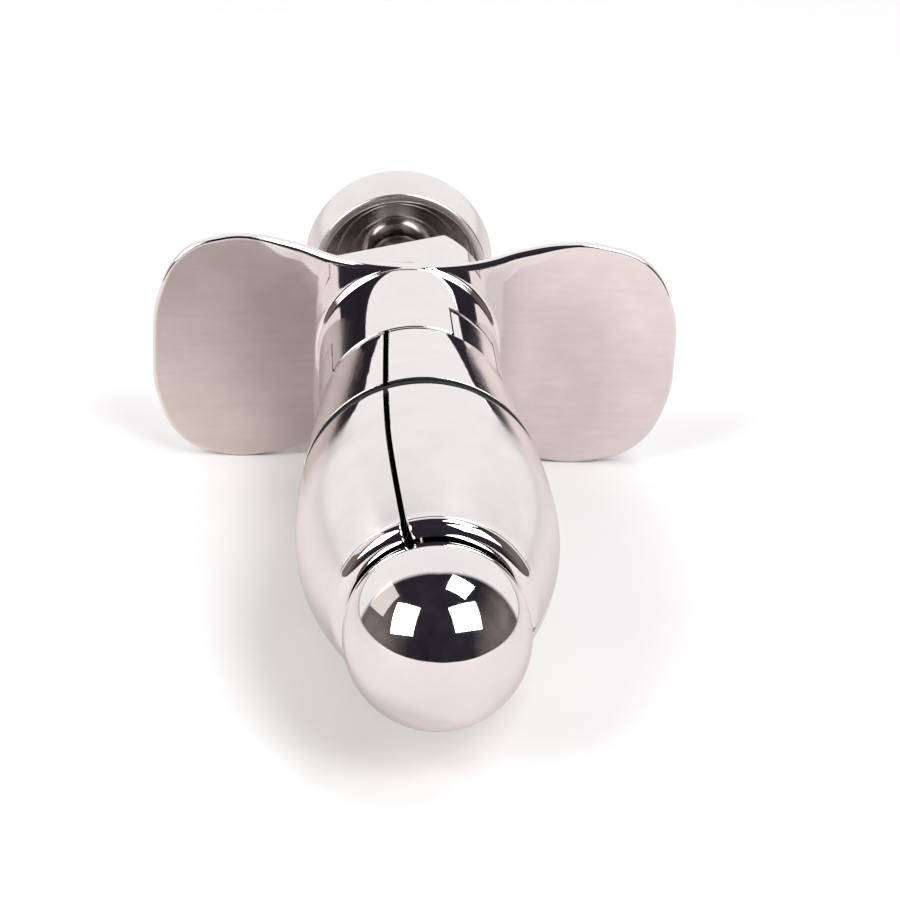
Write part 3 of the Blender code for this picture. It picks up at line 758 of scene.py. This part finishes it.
def make_knob():
    outer = [(4.8, 163.0), (9.0, 163.0)]
    turns = np.radians(np.linspace(3, 90, 40))
    outer += [(9.0 + 9.5 * math.sin(t), 156.0 + 7.0 * math.cos(t)) for t in turns]
    outer += [(18.5 - 1.35 * ((156.0 - s) / 8.4) ** 1.5, s) for s in np.linspace(155, 147.6, 14)]
    rim = rounded([(17.15, 147.6), (16.95, 146.5), (15.5, 146.5), (15.2, 147.2)], [0, 0.55, 0.3, 0], 6)
    inside = [(15.2, 147.2), (15.2, 153.5), (12.5, 153.5), (12.5, 155.2), (9.5, 155.2), (9.5, 156.5)]
    inside += [(4.3, 156.5), (4.3, 159.7), (4.8, 159.7)]
    inside = rounded(inside, [0, 1.0, 0.35, 0.5, 0.35, 0.4, 0.1, 0.1, 0], 6)
    item = lathe("knob_cup_body", outer + rim[1:-1] + inside, POLISHED, 240, closed=True)
    # The faces inside the cup take the cup material, whose dark colour is painted shade in the hollow.
    item.data.materials.append(CUP)
    for face in item.data.polygons:
        depth = (face.center.y - NOSE_Y) / MM
        out = math.hypot(face.center.x - AXIS_X, face.center.z - AXIS_Z) / MM
        face.material_index = int(147.3 < depth < 158 and out < 15.4)
    point_values(item, "haze", np.full(len(item.data.vertices), 1.0))
    finish_piece(item, "knob", "polished_steel", "knob_cup")
    radius, centre, rear, hole = 6.5, 151.6, 156.2, 4.3
    start = math.degrees(math.acos((rear - centre) / radius))
    end = 180 - math.degrees(math.asin(hole / radius))
    profile = [(hole, rear)] + arc(centre, 0, radius, start, end, 40)
    boss = lathe("boss_body", profile, POLISHED, 144, closed=True)
    point_values(boss, "haze", np.full(len(boss.data.vertices), 0.7))
    finish_piece(boss, "knob", "polished_steel", "knob_boss")
    screw = [(0, 161.3), (1.9, 161.3), (1.9, 162.8), (4.5, 162.8), (4.5, 160.0), (0, 160.0)]
    cap = lathe("cap_screw_body", rounded(screw, [0, 0.1, 0.25, 0.3, 0.1, 0], 4), TURNED, 96)
    finish_piece(cap, "knob", "turned_steel", "knob_cap_screw")


# ---------------------------------------------------------------- camera, light and floor


# The camera's place from the axis, and where it looks and its upper side, before it is rolled.
CAMERA_AWAY = Vector((-0.02056, -0.38589, 0.16746))
CAMERA_FORWARD = Vector((0.0627, 0.91153, -0.40643))
CAMERA_UPWARD = Vector((-0.00798, 0.40768, 0.91309))
CAMERA_ROLL = Matrix.Rotation(math.radians(-0.83), 3, "Y")


def make_camera():
    data = bpy.data.cameras.new("camera")
    data.lens = 100
    data.sensor_width = 36
    data.clip_start = 0.01
    item = bpy.data.objects.new("camera", data)
    forward = (CAMERA_ROLL @ CAMERA_FORWARD).normalized()
    right = forward.cross(CAMERA_ROLL @ CAMERA_UPWARD).normalized()
    up = right.cross(forward)
    turn = Matrix((right, up, -forward)).transposed().to_4x4()
    away = CAMERA_ROLL @ CAMERA_AWAY
    item.matrix_world = Matrix.Translation(away + Vector((AXIS_X, 0, AXIS_Z))) @ turn
    bpy.context.scene.collection.objects.link(item)
    bpy.context.scene.camera = item


def make_world():
    """White backdrop behind, dark room in front. The camera itself sees plain white."""
    world = bpy.data.worlds.new("studio")
    bpy.context.scene.world = world
    world.use_nodes = True
    tree = world.node_tree
    tree.nodes.clear()

    def node(kind, inputs=(), **settings):
        made = tree.nodes.new(kind)
        for key, value in settings.items():
            setattr(made, key, value)
        for key, value in dict(inputs).items():
            if isinstance(value, bpy.types.NodeSocket):
                tree.links.new(value, made.inputs[key])
            else:
                made.inputs[key].default_value = value
        return made

    def blend(factor, one, two):
        return node("ShaderNodeMix", {"Factor": factor, 6: one, 7: two}, data_type="RGBA").outputs[2]

    direction = node("ShaderNodeTexCoord").outputs["Generated"]
    parts = node("ShaderNodeSeparateXYZ", {0: direction}).outputs
    aside = node("ShaderNodeMath", {0: parts["X"]}, operation="ABSOLUTE").outputs[0]
    reach = node("ShaderNodeMath", {0: aside, 1: -0.12}, operation="MULTIPLY").outputs[0]
    behind = node("ShaderNodeMath", {0: parts["Y"], 1: reach}, operation="ADD").outputs[0]
    back = node("ShaderNodeMapRange", {"Value": behind, "From Min": 0.27, "From Max": 0.36}).outputs[0]
    blotch = node("ShaderNodeTexNoise", {"Vector": direction, "Scale": 2.2, "Detail": 3.0}).outputs["Fac"]
    wall = node("ShaderNodeMapRange", {"Value": aside, "From Min": 0.62, "From Max": 1.05}).outputs[0]
    glow = node("ShaderNodeMath", {0: wall, 1: blotch}, operation="MULTIPLY").outputs[0]
    room = blend(blotch, (0.008, 0.008, 0.011, 1), (0.045, 0.038, 0.055, 1))
    room = blend(glow, room, (0.42, 0.35, 0.3, 1))
    colour = blend(back, room, (0.98, 0.965, 0.965, 1))
    camera = node("ShaderNodeLightPath").outputs["Is Camera Ray"]
    seen = blend(camera, colour, (1, 1, 1, 1))
    shade = node("ShaderNodeBackground", {"Color": seen, "Strength": 1.0})
    tree.links.new(shade.outputs[0], node("ShaderNodeOutputWorld").inputs[0])


def softbox(name, away, across, distance, size, power, colour=(1, 1, 1)):
    """An area light in the direction away from the object, with its width along the direction across."""
    away = Vector(away).normalized()
    up = away.cross(Vector(across)).normalized()
    data = bpy.data.lights.new(name, "AREA")
    data.shape = "RECTANGLE"
    data.size, data.size_y = size
    data.energy = power
    data.color = colour
    item = bpy.data.objects.new(name, data)
    turn = Matrix((up.cross(away), up, away)).transposed().to_4x4()
    item.matrix_world = Matrix.Translation(Vector((0, -0.06, 0.02)) + away * distance) @ turn
    bpy.context.scene.collection.objects.link(item)


def make_stage():
    size, front = 4.0, -0.45
    corners = [(-size, front, 0), (size, front, 0), (size, size, 0), (-size, size, 0)]
    floor = mesh_object("floor", corners, [(0, 1, 2, 3)], floor_paint())
    softbox("softbox_left", (-0.66, -0.44, 0.56), (0.68, -0.68, 0.27), 1.8, (0.94, 1.1), 21.5)
    softbox("softbox_right", (0.5, -0.52, 0.69), (0.83, 0.55, -0.14), 1.8, (1.1, 1.0), 20)
    softbox("softbox_top", (0.35, 0.04, 0.94), (0.88, -0.34, -0.32), 1.8, (0.74, 0.72), 10)
    softbox("reflector_left", (-0.8, 0.2, 0.5), (0.2, -0.9, 0.1), 1.6, (0.8, 0.75), 1.4, (1.0, 0.93, 0.88))
    scene = bpy.context.scene
    scene.view_settings.view_transform = "Standard"
    scene.view_settings.look = "None"


FINISHES = {
    "polished_steel": POLISHED,
    "satin_steel": SATIN,
    "turned_steel": TURNED,
    "bronze": BRONZE,
    "rubber": RUBBER,
}


def paint_cad_nodes():
    for part in frame["record"]["subparts"]:
        item = frame["nodes"][part["node"]]
        item.data.materials.clear()
        item.data.materials.append(FINISHES[part["material_slot"]])


paint_cad_nodes()
make_ball()
make_rod()
PETAL_POINTS = petal_profile()
for place_name, petal_angle in PETALS.items():
    make_petal(place_name, petal_angle, PETAL_POINTS)
    make_ring(place_name, petal_angle)
make_barrel()
make_plate()
make_welds()
make_spindle()
make_gland()
make_knob()
make_camera()
make_world()
make_stage()
